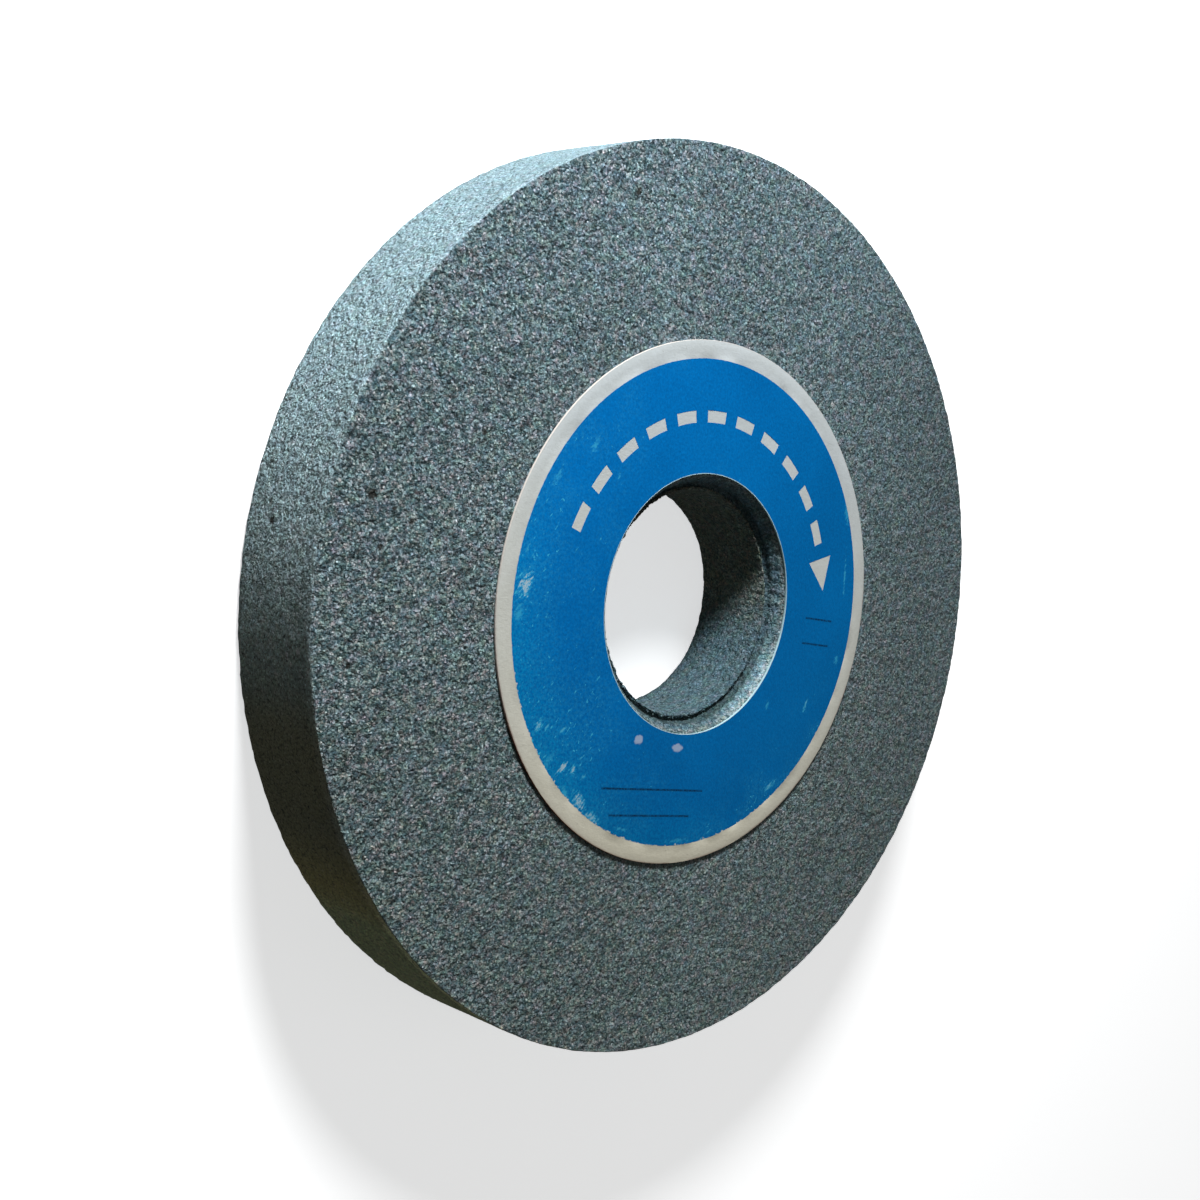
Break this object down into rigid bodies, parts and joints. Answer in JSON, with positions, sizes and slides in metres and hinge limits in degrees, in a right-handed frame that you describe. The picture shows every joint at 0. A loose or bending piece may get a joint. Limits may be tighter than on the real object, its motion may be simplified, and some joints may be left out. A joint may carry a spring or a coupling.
{
  "type": "bench grinding wheel",
  "caption": "Straight green-grey vitrified grinding wheel with a stepped bore and a blue-printed paper blotter on its face.",
  "frame": {"origin": "middle of the bore, halfway through the abrasive body", "axes": "+Z along the bore axis, out of the printed face"},
  "size_m": [0.1524, 0.1524, 0.0198],
  "materials": {
    "vitrified_grit": "coarse open grit, matt with small sparkles",
    "blotter_paper": "matt pale card, grubby at the edge",
    "blue_print": "satin blue ink, scuffed",
    "rear_blotter_paper": "matt plain card"
  },
  "bodies": {
    "root": {"abrasive_wheel": "vitrified_grit", "front_blotter": "blotter_paper", "front_print": "blue_print", "rear_blotter": "rear_blotter_paper"}
  },
  "joints": []
}
